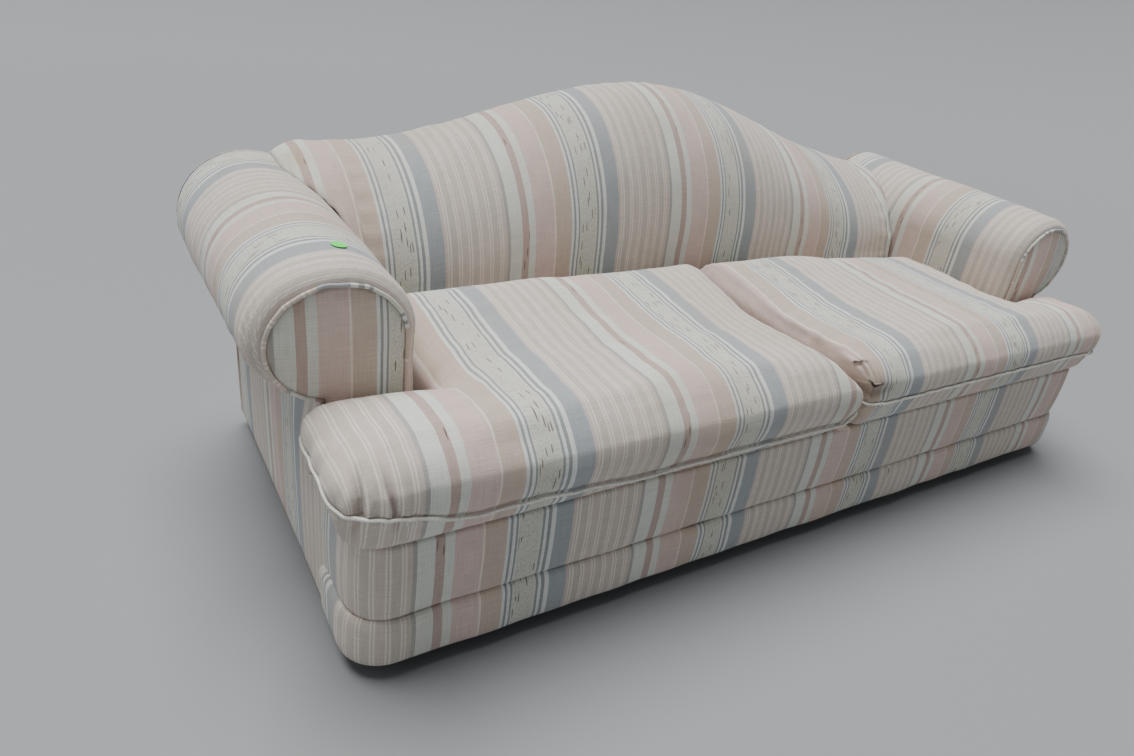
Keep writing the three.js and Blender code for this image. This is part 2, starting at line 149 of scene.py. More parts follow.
# ------------ springs and padding
# Sinuous springs of drawn steel wire, burlap over them, and cotton felt over that.
# All of it is closed in; the felt is off-white with dark seed specks.
dress(grained("drawn spring wire", "#55585B", "#7B7F83", 400.0, 0.4, 0.1, metallic=0.9),
      *[f"seat_spring_{k}" for k in range(1, 7)])
dress(grained("jute burlap", "#7E6A45", "#A89267", 900.0, 0.95, 0.8), "seat_burlap", "back_burlap")
dress(grained("cotton felt", "#C9C2B2", "#E2DED3", 260.0, 0.97, 0.6), "deck_pad")

# The deck below the cushions is a plain drab cloth, and a thin black cloth closes the underside.
dress(grained("drab deck cloth", "#857F75", "#989288", 1200.0, 0.95, 0.5), "deck_cover")
dress(grained("black dust cloth", "#1F1F20", "#303031", 700.0, 0.95, 0.4), "dust_cover")


# ------------ feet
# Low turned glides of moulded black plastic, scuffed where the sofa was dragged.
dress(grained("moulded black plastic", "#141414", "#2A2928", 120.0, 0.5, 0.15), "centre_foot",
      "front_left_foot", "front_right_foot", "rear_left_foot", "rear_right_foot")


# ------------ base covers
# The front of the base is one striped cover that wraps both rounded corners and stops at a
# seam on each side. A padded lower band is stitched along its foot.
REPEAT = 0.439                    # one repeat of the stripes
COVER_U = 0.681                   # where a repeat starts, measured from the middle of the sofa

# The stripes in order: where each one starts, as a share of the repeat, and its colour.
GREY_BLUE = "#A9AEB1"
PIN_GROUND = "#D3C6BD"
PIN_GROUND_2 = "#CCC3B9"
PIN_LINE = "#E8E0D5"
EDGE_GREY = "#B3B1AD"
CREAM = "#DFE1D8"
MAUVE = "#C1ACA4"
PINK = "#DAC5BD"
HAIRLINE = "#EADFD2"
TAN = "#CEBDAF"
LINE_WHITE = "#E4E6E2"
LINE_GREY = "#9DA2A2"
FLECK_GROUND = "#DADACF"
PIN_START, PIN_END, HALF = 0.080, 0.412, 0.430
PIN_PAIRS = 6
first_half = [(0.0, GREY_BLUE), (PIN_START, PIN_GROUND)]
for k in range(PIN_PAIRS):
    middle = PIN_START + (PIN_END - PIN_START) * (k + 0.46) / PIN_PAIRS
    ground = PIN_GROUND if k % 2 else PIN_GROUND_2
    first_half += [(middle - 0.0105, PIN_LINE), (middle - 0.0035, ground),
                   (middle + 0.0035, PIN_LINE), (middle + 0.0105, ground)]
first_half += [(PIN_END, EDGE_GREY)]
second_half = [
    (0.430, CREAM), (0.498, MAUVE), (0.536, CREAM), (0.574, PINK), (0.686, HAIRLINE),
    (0.693, TAN), (0.785, LINE_WHITE), (0.799, LINE_GREY), (0.809, LINE_WHITE),
    (0.822, LINE_GREY), (0.833, FLECK_GROUND), (0.938, LINE_GREY), (0.950, LINE_WHITE),
    (0.964, LINE_GREY), (0.978, LINE_WHITE)]
FLECK_SPAN = (0.840, 0.930)
MAUVE_SPAN = (0.505, 0.538)
DASH_CELLS = (190.0, 20.0, 0.0)   # cells a metre, across and along the stripe; each may hold a dash

THREAD = 0.0022                   # the real thread is about 0.6 mm, drawn coarser so that it shows
SMUDGE_PLACE = (-1.058, -0.405, 0.372)
STAIN_PLACE = (-0.915, 0.345, 0.655)


def striped_cotton(name):
    """Woven striped cotton: matt, slubby, faded, with a printed scatter of short dark dashes."""
    material, tree, shader = new_material(name, {
        "Roughness": 0.9, "Sheen Weight": 0.18, "Sheen Roughness": 0.5,
        "Specular IOR Level": 0.25})

    def maths(operation, *values):
        return add(tree, "Math", dict(enumerate(values)), operation=operation).outputs[0]

    def noise(place, scale, detail=2.0):
        settings = {"Vector": place, "Scale": scale, "Detail": detail}
        return add(tree, "TexNoise", settings).outputs[0]

    def stretched(place, factors):
        return add(tree, "VectorMath", {0: place, 1: factors}, operation="MULTIPLY").outputs[0]

    def ranged(value, start, end, first=0.0, last=1.0):
        return add(tree, "MapRange", {"Value": value, "From Min": start, "From Max": end,
                                      "To Min": first, "To Max": last}).outputs[0]

    def mixed(amount, under, over, blend="MIX"):
        return add(tree, "Mix", {0: amount, 6: under, 7: over},
                   data_type="RGBA", blend_type=blend).outputs[2]

    def stripe_ramp(share, stops, start, end):
        made = add(tree, "ValToRGB", {"Fac": ranged(share, start, end)})
        ramp = made.color_ramp
        ramp.interpolation = "CONSTANT"
        for k, (place, colour) in enumerate(stops):
            at = (place - start) / (end - start)
            stop = ramp.elements[k] if k < 2 else ramp.elements.new(at)
            stop.position = at
            stop.color = srgb(colour)
        return made.outputs[0]

    def inside(share, span):
        return maths("MULTIPLY", maths("GREATER_THAN", share, span[0]),
                     maths("LESS_THAN", share, span[1]))

    cloth = add(tree, "Attribute", attribute_name="cloth").outputs["Vector"]
    flat = add(tree, "SeparateXYZ", {0: cloth}).outputs
    place = add(tree, "TexCoord").outputs["Object"]

    # The weft wanders a little, so a stripe's edge isn't ruled.
    wander = maths("MULTIPLY_ADD", noise(cloth, 60.0), 0.0012, -0.0006)
    repeats = maths("DIVIDE", maths("ADD", flat[0], wander), REPEAT)
    share = maths("FRACT", repeats)
    in_second = maths("GREATER_THAN", share, HALF)
    colour = mixed(in_second, stripe_ramp(share, first_half, 0.0, HALF),
                   stripe_ramp(share, second_half, HALF, 1.0))

    # Short dashes along the stripe, about 2 mm by 20 mm: in patches in the mottled cream band
    # and, more sparsely, in the mauve one.
    in_fleck = inside(share, FLECK_SPAN)
    bent = maths("MULTIPLY_ADD", noise(cloth, 140.0), 0.0014, flat[0])
    dash_place = add(tree, "CombineXYZ", {0: bent, 1: flat[1]}).outputs[0]
    cells = add(tree, "TexVoronoi",
                {"Vector": stretched(dash_place, DASH_CELLS), "Scale": 1.0},
                voronoi_dimensions="2D").outputs
    near = maths("LESS_THAN", cells["Distance"], 0.22)
    chance = add(tree, "SeparateXYZ", {0: cells["Color"]}).outputs[0]
    some = maths("GREATER_THAN", maths("ADD", chance, noise(cloth, 13.0)), 1.26)
    few = maths("GREATER_THAN", chance, 0.90)
    here = maths("MAXIMUM", maths("MULTIPLY", in_fleck, some),
                 maths("MULTIPLY", inside(share, MAUVE_SPAN), few))
    dashes = maths("MULTIPLY", maths("MULTIPLY", here, near), 0.84)
    colour = mixed(dashes, colour, srgb("#5B4B42"))

    # The cream ground between the dashes is mottled with specks about 1 mm by 4 mm.
    specks = noise(stretched(cloth, (620.0, 150.0, 1.0)), 1.0, 1.0)
    speck = ranged(specks, 0.50, 0.62, 0.0, 0.34)
    colour = mixed(maths("MULTIPLY", speck, in_fleck), colour, srgb("#8E8377"))

    # Slubs: threads that vary in tone along their length.
    slub = noise(stretched(cloth, (520.0, 16.0, 1.0)), 1.0, 3.0)
    cross = noise(stretched(cloth, (22.0, 430.0, 1.0)), 1.0)
    both = maths("ADD", slub, cross)
    colour = mixed(1.0, colour, ranged(both, 0.7, 1.3, 0.86, 1.08), "MULTIPLY")

    # Fading and grime, a few hundred millimetres across, and two small marks.
    soil = ranged(noise(place, 4.2, 6.0), 0.48, 0.74, 0.0, 0.30)
    colour = mixed(soil, colour, srgb("#B9A88F"))
    for centre, radius, strength, mark in ((SMUDGE_PLACE, 0.020, 0.55, "#6F6378"),
                                           (STAIN_PLACE, 0.050, 0.35, "#B3A06B")):
        gap = add(tree, "VectorMath", {0: place, 1: centre}, operation="DISTANCE")
        edge = maths("MULTIPLY_ADD", noise(place, 90.0, 3.0), radius, gap.outputs["Value"])
        amount = ranged(edge, radius * 0.7, radius * 1.5, strength, 0.0)
        colour = mixed(amount, colour, srgb(mark))

    # Painted shade, with some grime, in tears, pleats, tucks and creases: the third cloth value
    # darkens the cloth there.
    colour = mixed(flat[2], colour, srgb("#5C4F45"))

    # A plain weave as relief, with the slubs on top of it.
    weave = [maths("SINE", maths("MULTIPLY", flat[k], 2 * math.pi / THREAD)) for k in (0, 1)]
    height = maths("MULTIPLY_ADD", maths("MULTIPLY", *weave), 0.25, both)
    relief = add(tree, "Bump", {"Height": height, "Strength": 0.55, "Distance": 0.0012})
    tree.links.new(colour, shader.inputs["Base Color"])
    tree.links.new(relief.outputs[0], shader.inputs["Normal"])
    return material


striped = striped_cotton("striped woven cotton")


def ripple(a, b, wavelength, seed):
    """Soft random waves over two coordinates in metres, between about -1 and 1."""
    waves = 9
    draw = np.random.default_rng(seed)
    total = np.zeros_like(np.asarray(a + b, float))
    for _ in range(waves):
        heading = draw.uniform(0, math.pi)
        length = wavelength * draw.uniform(0.6, 1.7)
        phase = draw.uniform(0, 2 * math.pi)
        reach = a * math.cos(heading) + b * math.sin(heading)
        total += np.sin(2 * math.pi * reach / length + phase)
    return total / math.sqrt(waves) / 1.2


def bell(distance, width):
    return np.exp(-(distance / width) ** 2)


def smooth(edge0, edge1, value):
    t = np.clip((value - edge0) / (edge1 - edge0), 0, 1)
    return t * t * (3 - 2 * t)


def build(name, points, faces, cloth_u, cloth_v, material=striped, shade_and_grime=0.0):
    """A smooth mesh with its place on the flat cloth, and its painted shade and grime, stored at
    each point.
    """
    mesh = bpy.data.meshes.new(name)
    mesh.from_pydata(np.asarray(points, float).reshape(-1, 3).tolist(), [], faces)
    mesh.validate()
    mesh.update()
    set_cloth(mesh, cloth_u, cloth_v, shade_and_grime)
    mesh.polygons.foreach_set("use_smooth", [True] * len(mesh.polygons))
    mesh.materials.append(material)
    return put(name, mesh)


def set_cloth(mesh, cloth_u, cloth_v, shade_and_grime=0.0):
    layer = mesh.attributes.get("cloth") or mesh.attributes.new("cloth", "FLOAT_VECTOR", "POINT")
    values = np.zeros((len(mesh.vertices), 3), np.float32)
    values[:, 0] = np.asarray(cloth_u).ravel()
    values[:, 1] = np.asarray(cloth_v).ravel()
    # The third value is painted shade in creases, folds, tucks and tears, with some grime.
    values[:, 2] = np.asarray(shade_and_grime).ravel()
    layer.data.foreach_set("vector", values.ravel())


def grid_faces(rows, columns, loop_columns=False, skip=()):
    faces = []
    last = columns if loop_columns else columns - 1
    for r in range(rows - 1):
        for c in range(last):
            if (r, c) in skip:
                continue
            n = (c + 1) % columns
            below, up = r * columns, (r + 1) * columns
            faces.append((below + c, below + n, up + n, up + c))
    return faces


def capped_faces(rows, count):
    """Faces of a skin made of closed rings, with a cap on its first and its last ring."""
    faces = grid_faces(rows, count, loop_columns=True)
    faces.append(tuple(range(count)))
    faces.append(tuple((rows - 1) * count + k for k in reversed(range(count))))
    return faces


def run_along(line):
    """How far along a flat line each of its points lies."""
    return np.concatenate([[0], np.cumsum(np.hypot(*np.diff(line, axis=0).T))])


def turn_outward(piece):
    made = bmesh.new()
    made.from_mesh(piece.data)
    bmesh.ops.recalc_face_normals(made, faces=made.faces)
    made.to_mesh(piece.data)
    made.free()


def thicken(piece, depth):
    """Gives a cloth sheet its real thickness, inwards."""
    solid = piece.modifiers.new("cloth", "SOLIDIFY")
    solid.thickness = depth
    solid.offset = -1
    apply(piece, solid)


def apply(piece, modifier):
    bpy.context.view_layer.update()
    with bpy.context.temp_override(object=piece, active_object=piece, selected_objects=[piece]):
        bpy.ops.object.modifier_apply(modifier=modifier.name)


def span_of(node):
    """The two corners of a node's box, and how near and how far from the middle it reaches."""
    low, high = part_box(node)
    return low, high, *sorted((abs(low.x), abs(high.x)))


def settle(piece, *replaced, slot="striped_cloth"):
    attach(piece, "root")
    if replaced:
        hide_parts(*replaced)


base_low, base_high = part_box("front_cover")
band_low, band_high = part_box("lower_band")
CORNER = 0.070                    # radius of the base's front corners
BASE_HALF = base_high.x
PATH_STEP = 0.006
UPRIGHT_ROWS = 26


def wrap_path(half, front, radius, seam, step):
    """The base cover's line seen from above, from one side seam round the front to the other."""
    path = [(-half, y) for y in np.linspace(seam, front + radius, 14)]
    for middle, start in ((radius - half, 180), (half - radius, 270)):
        path += [(middle + radius * math.cos(a), front + radius + radius * math.sin(a))
                 for a in np.radians(np.linspace(start, start + 90, 13)[1:])]
        if middle < 0:
            path += [(x, front)
                     for x in np.linspace(middle, half - radius, int(2 * half / step))[1:]]
    path += [(half, y) for y in np.linspace(front + radius, seam, 14)[1:]]
    path = np.array(path)
    run = run_along(path)
    heading = np.gradient(path, axis=0)
    normal = np.stack([heading[:, 1], -heading[:, 0]], 1)
    normal /= np.linalg.norm(normal, axis=1)[:, None]
    return path, run - run[-1] / 2, normal


path, run, normal = wrap_path(BASE_HALF, base_low.y, CORNER, base_high.y, PATH_STEP)
heights = np.concatenate([np.linspace(base_low.z - 0.004, base_high.z - 0.007, UPRIGHT_ROWS),
                          base_high.z + np.array([-0.0030, -0.0012, -0.0008, -0.0006, -0.0006])])
tuck_in = np.concatenate([np.zeros(UPRIGHT_ROWS), [0.002, 0.008, 0.022, 0.040, 0.064]])
along_grid, height_grid = np.meshgrid(run, heights)
share = np.clip((heights - heights[0]) / (heights[UPRIGHT_ROWS - 1] - heights[0]), 0, 1)
bulge = 0.0035 * np.sin(np.pi * share) - 0.004 * (1 - smooth(0.0, 0.10, share)) - tuck_in
puff = bulge[:, None] + 0.0012 * ripple(along_grid, height_grid * 0.4, 0.16, 3)
cover_points = np.zeros((*along_grid.shape, 3))
cover_points[..., :2] = path[None] + normal[None] * puff[..., None]
cover_points[..., 2] = height_grid
front_cover = build("base_front_cover", cover_points, grid_faces(*along_grid.shape),
                    along_grid + COVER_U, height_grid)
thicken(front_cover, 0.002)
turn_outward(front_cover)
settle(front_cover, "front_cover")

# The lower band: padded, folded over at its top edge and under at the floor. A small hole is
# worn through it right of the middle, and its left end gapes where the stitching has let go.
path, run, normal = wrap_path(band_high.x, band_low.y, CORNER + 0.005, band_high.y, PATH_STEP)
# Its section, from the turned foot to the fold at the top, as heights and how far each stands out.
section_z, section_out = np.array([
    (0.000, -0.012), (0.001, -0.005), (0.004, 0.000), (0.012, 0.0025), (0.024, 0.004),
    (0.038, 0.0045), (0.052, 0.0045), (0.066, 0.004), (0.078, 0.0035), (0.088, 0.002),
    (0.095, -0.001), (0.0985, -0.005), (0.0985, -0.009), (0.096, -0.012)]).T[:, :, None]
along_grid, height_grid = np.meshgrid(run, section_z)
gape = bell(run - run[0], 0.05)
rise = 0.0016 * ripple(run, run * 0, 0.35, 12)
out = section_out + 0.0014 * ripple(along_grid, section_z * 0.5, 0.12, 5)
out = out + 0.006 * gape * smooth(0.05, 0.098, section_z)
band_points = np.zeros((*along_grid.shape, 3))
band_points[..., :2] = path[None] + normal[None] * out[..., None]
band_points[..., 2] = (band_low.z + section_z + rise * smooth(0.06, 0.09, section_z)
                       + 0.010 * gape * smooth(0.05, 0.09, section_z))
HOLE_X, HOLE_ROW = 0.262, 8
hole_column = int(np.argmin(np.abs(path[:, 0] - HOLE_X) + (path[:, 1] > band_low.y + 0.01)))
hole_cells = {(HOLE_ROW, hole_column), (HOLE_ROW + 1, hole_column)}
for r, c, dx, dz in ((0, 0, 0.0022, -0.001), (0, 1, -0.001, 0.001), (2, 0, 0.0015, 0.0),
                     (2, 1, -0.003, -0.002), (1, 0, 0.0006, 0.001), (1, 1, 0.0012, 0)):
    band_points[HOLE_ROW + r, hole_column + c] += (dx, 0, dz)
band_u = along_grid + COVER_U + 0.020 * smooth(0.0, 1.0, along_grid)
lower_band = build("base_lower_band", band_points, grid_faces(*along_grid.shape, skip=hole_cells),
                   band_u, height_grid)
thicken(lower_band, 0.0022)
turn_outward(lower_band)
settle(lower_band, "lower_band")


# ------------ outside arm panels
# One flat striped panel on each side, stapled under the roll and pulled down to the base.
# Its stripes run up and down, and it hangs in faint upright folds.
PANEL_TOP = 0.428
ARM_U = {-1: -0.088, 1: -0.072}    # where a repeat of the stripes starts along each arm
for word, side in SIDES:
    low, high, _, outer = span_of(f"{word}_outside_arm_panel")
    ys = np.linspace(low.y - 0.004, high.y, 110)
    y_grid, z_grid = np.meshgrid(ys, np.linspace(low.z, PANEL_TOP, 48))
    # In front of the arm the panel is only as tall as the base.
    arm_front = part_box(f"{word}_arm_cover")[0].y
    tall = smooth(arm_front - 0.006, arm_front + 0.006, y_grid)
    panel_height = PANEL_TOP - low.z
    z_grid = low.z + (z_grid - low.z) * (tall + (1 - tall) * (base_high.z - low.z) / panel_height)
    bow_up = np.sin(np.pi * np.clip((z_grid - low.z) / panel_height, 0, 1))
    bow_along = np.sin(np.pi * (y_grid - ys[0]) / (ys[-1] - ys[0]))
    fold = 0.0022 * ripple(y_grid, z_grid * 0.12, 0.10, 20 + side) * bow_up
    belly = 0.003 * bow_up * bow_along
    lean = 0.024 * smooth(0.29, 0.42, z_grid)
    lean = lean * (1 - smooth(arm_front + 0.006, arm_front + 0.15, y_grid))
    panel_points = np.stack([side * (outer + fold + belly - 0.0015 - lean), y_grid, z_grid], -1)
    panel = build(f"{word}_outside_arm", panel_points, grid_faces(*y_grid.shape),
                  -y_grid + ARM_U[side], z_grid)
    turn_outward(panel)
    if panel.data.polygons[0].normal.x * side < 0:
        panel.data.flip_normals()
    thicken(panel, 0.002)
    settle(panel, f"{word}_outside_arm_panel")


# ------------ rolled arms
# Each arm is a rail wrapped in cotton felt under a striped cover. The cover runs up the inside
# face, over the roll, and tucks under at the outside; its stripes run round the roll.
def roll_at(y, word):
    """Middle and half-sizes (sideways, upwards, downwards) of the roll at a place along the arm."""
    low, high, inner, outer = span_of(f"{word}_arm_cover")
    rear_half = (outer - inner) / 2
    t = min(max((y - low.y) / (high.y - low.y), 0), 1)
    middle_z = 0.520 - 0.004 * t
    return (inner + rear_half, middle_z, rear_half - 0.010 * (1 - t),
            high.z - 0.0225 * (1 - t) - middle_z, 0.107 + 0.008 * t)


def drawn_in(left, reach, depth):
    """How far a padded end draws in at a place that is this far from its tip."""
    gone = max(0.0, reach - left) / reach
    return depth * (1 - math.sqrt(max(0.0, 1 - gone * gone)))


TUCK = math.radians(-76)          # the cover turns in here, under the roll
FRONT_ROUND, REAR_ROUND = 0.034, 0.018
RISE_POINTS, ROLL_POINTS = 34, 84
GATHER_STEP = 0.021
for word, side in SIDES:
    low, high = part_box(f"{word}_arm_cover")
    front, rear = low.y - 0.003, high.y - 0.005
    ys = np.concatenate([front + FRONT_ROUND * (1 - np.cos(np.linspace(0, math.pi / 2, 10))),
                         np.linspace(front + FRONT_ROUND, rear - REAR_ROUND, 100)[1:],
                         rear - REAR_ROUND * (1 - np.sin(np.linspace(0, math.pi / 2, 6))[1:])])
    rings, us, vs = [], [], []
    for y in ys:
        centre_x, centre_z, half, up, down = roll_at(y, word)
        shrink = drawn_in(y - front, FRONT_ROUND, 0.024) + drawn_in(rear - y, REAR_ROUND, 0.010)
        angles = np.linspace(math.pi, TUCK, ROLL_POINTS + 1)[1:]
        upright = np.where(angles > 0, up, down) - shrink
        xs = np.concatenate([np.full(RISE_POINTS, centre_x - half + shrink),
                             centre_x + (half - shrink) * np.cos(angles)])
        zs = np.concatenate([np.linspace(low.z - 0.002, centre_z, RISE_POINTS),
                             centre_z + upright * np.sin(angles)])
        rings.append(np.stack([xs, np.full(len(xs), y), zs], 1))
        us.append(np.full(len(xs), -y + ARM_U[side] + shrink))
        vs.append(run_along(np.stack([xs, zs], 1)))
    rings, us, vs = np.array(rings), np.array(us), np.array(vs)
    # Slack in the cover: long waves, gathers at the welted front, and pulls under the roll.
    tangent = np.gradient(rings, axis=1)
    length = np.hypot(tangent[..., 2], tangent[..., 0])
    round_share = vs / vs.max()
    y_grid = ys[:, None] + 0 * vs
    gather = bell(y_grid - front - 0.012, 0.022) * np.sin(
        vs * 2 * math.pi / GATHER_STEP + 2.0 * ripple(vs, vs * 0, 0.2, 41))
    lift = 0.0016 * ripple(y_grid, vs, 0.22, 50 + side)
    lift += (0.0011 * ripple(y_grid * 1.8, vs * 0.45, 0.06, 60 + side)
             * smooth(0.55, 0.80, round_share))
    lift += gather * (0.0005 + 0.0020 * smooth(0.50, 0.70, round_share))
    lift = lift * smooth(0.0, 0.03, vs) - 0.001
    if side < 0:
        # The cover lies flat under the sticker.
        low_s, high_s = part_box("arm_sticker")
        reach = np.hypot(rings[..., 0] + (low_s.x + high_s.x) / 2,
                         rings[..., 1] - (low_s.y + high_s.y) / 2)
        clear = smooth(0.012, 0.040, reach)
        lift = lift * clear + 0.0006 * (1 - clear)
    rings[..., 0] -= lift * tangent[..., 2] / length
    rings[..., 2] += lift * tangent[..., 0] / length
    # Under the roll and up inside, the cover is closed where nothing shows.
    closing = []
    for inset_x, inset_z in ((0.020, 0.012), (0.080, 0.010), (0.130, -0.085)):
        extra = rings[:, -1].copy()
        extra[:, 0] -= inset_x
        extra[:, 2] = np.maximum(extra[:, 2] + inset_z, low.z)
        closing.append(extra)
    full = np.concatenate([rings, np.stack(closing, 1)], 1)
    full[..., 0] *= side
    # Painted shade under the roll, where the cover tucks in.
    roll_tuck_shade = 0.45 * smooth(0.93, 1.0, round_share)
    us, vs, roll_tuck_shade = [np.pad(grid, ((0, 0), (0, len(closing))), "edge")
                      for grid in (us, vs, roll_tuck_shade)]
    arm = build(f"{word}_arm_roll", full, capped_faces(len(ys), full.shape[1]), us, vs,
                shade_and_grime=roll_tuck_shade)
    turn_outward(arm)
    settle(arm, f"{word}_arm_cover", f"{word}_arm_pad")


# ------------ arm fronts
# A padded, keyhole-shaped panel closes the front of each arm, and a welt of the same striped
# cloth, cut across the stripes, is sewn round it.
STUMP_OUTER = 1.004               # outer edge of the arm front below the roll


def spread(line, count):
    """The same flat line drawn with evenly spaced points, and how far along each one lies."""
    lengths = run_along(line)
    even = np.linspace(0, lengths[-1], count)
    return np.stack([np.interp(even, lengths, line[:, k]) for k in (0, 1)], 1), even


def keyhole(word, grow, count):
    """The outline of an arm front: up the inner edge, over the top and back in under the roll."""
    low, high, inner, _ = span_of(f"{word}_arm_front_panel")
    inner, half = inner - grow, 0.107 + grow
    centre_x, centre_z = inner + half, 0.515
    up, down = high.z - centre_z + grow, 0.094 + grow
    sink = -math.acos((STUMP_OUTER + grow - centre_x) / half)
    angles = np.linspace(math.pi, sink, 70)
    tall = np.where(angles > 0, up, down)
    outline = [(inner, z) for z in np.linspace(low.z, centre_z, 20)[:-1]]
    outline += list(zip(centre_x + half * np.cos(angles), centre_z + tall * np.sin(angles)))
    tuck_z = outline[-1][1]
    outline += [(STUMP_OUTER + grow + 0.022 * (tuck_z - z) / (tuck_z - low.z), z)
                for z in np.linspace(tuck_z, low.z, 12)[1:]]
    return spread(np.array(outline), count)


PANEL_U = {-1: 1.269, 1: -0.227}   # where a repeat starts on each panel
PANEL_CENTRE = np.array([0.955, 0.470])
for word, side in SIDES:
    low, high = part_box(f"{word}_arm_front_panel")
    outline, _ = keyhole(word, 0.002, 150)
    foot_x = np.linspace(outline[-1, 0], outline[0, 0], 24)[1:-1]
    outline = np.concatenate([outline, np.stack([foot_x, np.full(22, low.z)], 1)])
    rows = []
    for share in np.linspace(0, 1, 22):
        flat = PANEL_CENTRE + (outline - PANEL_CENTRE) * share
        dimple = 0.0012 * ripple(flat[:, 0], flat[:, 1], 0.06, 70 + side) * (1 - share)
        depth = 0.012 * (1 - share ** 2.6) + dimple
        rows.append(np.stack([side * flat[:, 0], low.y - 0.001 - depth, flat[:, 1]], 1))
    rows = np.array(rows)
    back_row = rows[-1].copy()
    back_row[:, 1] = high.y
    stack = np.concatenate([rows[1:], back_row[None]])
    count = stack.shape[1]
    points = np.concatenate([stack.reshape(-1, 3), rows[0, :1]])
    faces = grid_faces(len(stack), count, loop_columns=True)
    tip = len(points) - 1
    faces += [(tip, k, (k + 1) % count) for k in range(count)]
    faces.append(tuple((len(stack) - 1) * count + k for k in range(count)))
    panel = build(f"{word}_arm_front", points, faces, points[:, 0] + PANEL_U[side], points[:, 2])
    turn_outward(panel)
    settle(panel, f"{word}_arm_front_panel")


def tube(name, line, radius, cloth_u, cloth_v, sides=10, closed=False, material=striped):
    """A round cord along a line of points."""
    if closed:
        direction = np.roll(line, -1, 0) - np.roll(line, 1, 0)
    else:
        direction = np.gradient(line, axis=0)
    direction /= np.linalg.norm(direction, axis=1)[:, None]
    side_way = np.cross(direction, np.array([0.13, 0.21, 0.97]))
    side_way /= np.linalg.norm(side_way, axis=1)[:, None]
    up_way = np.cross(side_way, direction)
    angles = np.linspace(0, 2 * math.pi, sides, endpoint=False)
    rings = line[:, None] + np.asarray(radius)[..., None, None] * (
        side_way[:, None] * np.cos(angles)[None, :, None]
        + up_way[:, None] * np.sin(angles)[None, :, None])
    faces = capped_faces(len(line), sides)
    if closed:
        last = (len(line) - 1) * sides
        faces = faces[:-2] + [(last + k, last + (k + 1) % sides, (k + 1) % sides, k)
                              for k in range(sides)]
    piece = build(name, rings, faces, np.repeat(cloth_u, sides), np.repeat(cloth_v, sides),
                  material)
    turn_outward(piece)
    return piece


for word, side in SIDES:
    low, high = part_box(f"{word}_arm_front_panel")
    outline, lengths = keyhole(word, 0.0060, 220)
    wobble = 0.0008 * ripple(lengths, lengths * 0, 0.05, 80 + side)
    line = np.stack([side * outline[:, 0], low.y - 0.0015 + wobble, outline[:, 1] + wobble], 1)
    welt = tube(f"{word}_arm_welt", line, 0.0036, lengths * 0.7 + 0.17, lengths * 0)
    settle(welt, f"{word}_arm_front_welt", slot="pale_welt")


# ------------ back
# The tight back: cotton felt on burlap under one striped cover. It rises to a hump in the
# middle, rolls over the top rail, and its ends lap over the rear of the arms.
back_low, back_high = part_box("inside_back_cover")
CREST_RISE = 0.170
CREST_HALF = 0.850
CREST_END = back_high.z - CREST_RISE
CREST_Y = 0.425
CREST_DROP = 0.026
FACE_Y = 0.142


def crest(x):
    """Height of the top line. The padding has slumped towards +X, so that end stands lower."""
    u = np.minimum(np.abs(x), CREST_HALF) / CREST_HALF
    slump = 0.022 * np.clip(-x, 0, 0.6) - 0.020 * np.clip(x, 0, 0.6) - 0.022 * smooth(0.68, 0.90, x)
    return CREST_END + CREST_RISE * (0.5 + 0.5 * np.cos(math.pi * u)) + slump


WING_START = 0.822                # beyond this the cover ends on top of the arm's roll
FOOT_Z = 0.276
BACK_ROWS, BACK_COLUMNS = 270, 96
back_xs = np.linspace(back_low.x - 0.012, back_high.x + 0.012, BACK_ROWS)
roll_x, roll_z, roll_half, roll_up, _ = roll_at(0.34, "right")
face, face_v = [], []
for x in back_xs:
    top = float(crest(x)) - 0.024 * max(0.0, (abs(x) - 0.880) / 0.057) ** 2
    spring_z = 0.442 + 0.35 * (top - 0.680)
    quarter = np.linspace(0, math.pi / 2, 60)
    line = [(back_low.y, FOOT_Z), (back_low.y + 0.008, 0.350), (back_low.y + 0.017, 0.420)]
    line += list(zip(FACE_Y + (CREST_Y - FACE_Y) * (1 - np.cos(quarter)),
                     spring_z + (top - spring_z) * np.sin(quarter)))
    line += [(CREST_Y + CREST_DROP * math.sin(a), top - CREST_DROP * (1 - math.cos(a)))
             for a in np.linspace(0, math.pi / 2, 10)[1:]]
    line = np.array(line + [(CREST_Y + CREST_DROP, top - 0.080)])
    if abs(x) > WING_START:
        reach = math.sqrt(max(0.0, 1 - ((abs(x) - roll_x) / roll_half) ** 2))
        rise = float(smooth(WING_START, 0.838, abs(x)))
        floor_z = FOOT_Z + (roll_z + roll_up * reach - 0.006 - FOOT_Z) * rise
        line = line[int(np.argmax(line[:, 1] >= min(floor_z, top - 0.004))):]
    points, even = spread(line, BACK_COLUMNS)
    face.append(np.column_stack([np.full(BACK_COLUMNS, x), points]))
    face_v.append(even - even[-1])
face, face_v = np.array(face), np.array(face_v)
face_normal = np.cross(np.gradient(face, axis=0), np.gradient(face, axis=1))
face_normal /= np.maximum(np.linalg.norm(face_normal, axis=2)[..., None], 1e-9)
if face_normal[BACK_ROWS // 2, 30, 1] > 0:
    face_normal = -face_normal
x_grid = np.repeat(back_xs[:, None], BACK_COLUMNS, 1)
up_share = np.linspace(0, 1, BACK_COLUMNS)[None]
lift = 0.0026 * ripple(x_grid, face_v, 0.26, 90)
lift += 0.0010 * ripple(x_grid * 1.6, face_v * 0.5, 0.09, 91)
lift += 0.004 * np.sin(np.pi * up_share) * (1 - np.abs(x_grid) / 0.95)
lift += 0.0012 * bell(np.abs(x_grid) - 0.82, 0.04) * np.sin(face_v * 2 * math.pi / 0.05)
face = face + face_normal * (lift * smooth(0.0, 0.06, up_share))[..., None]
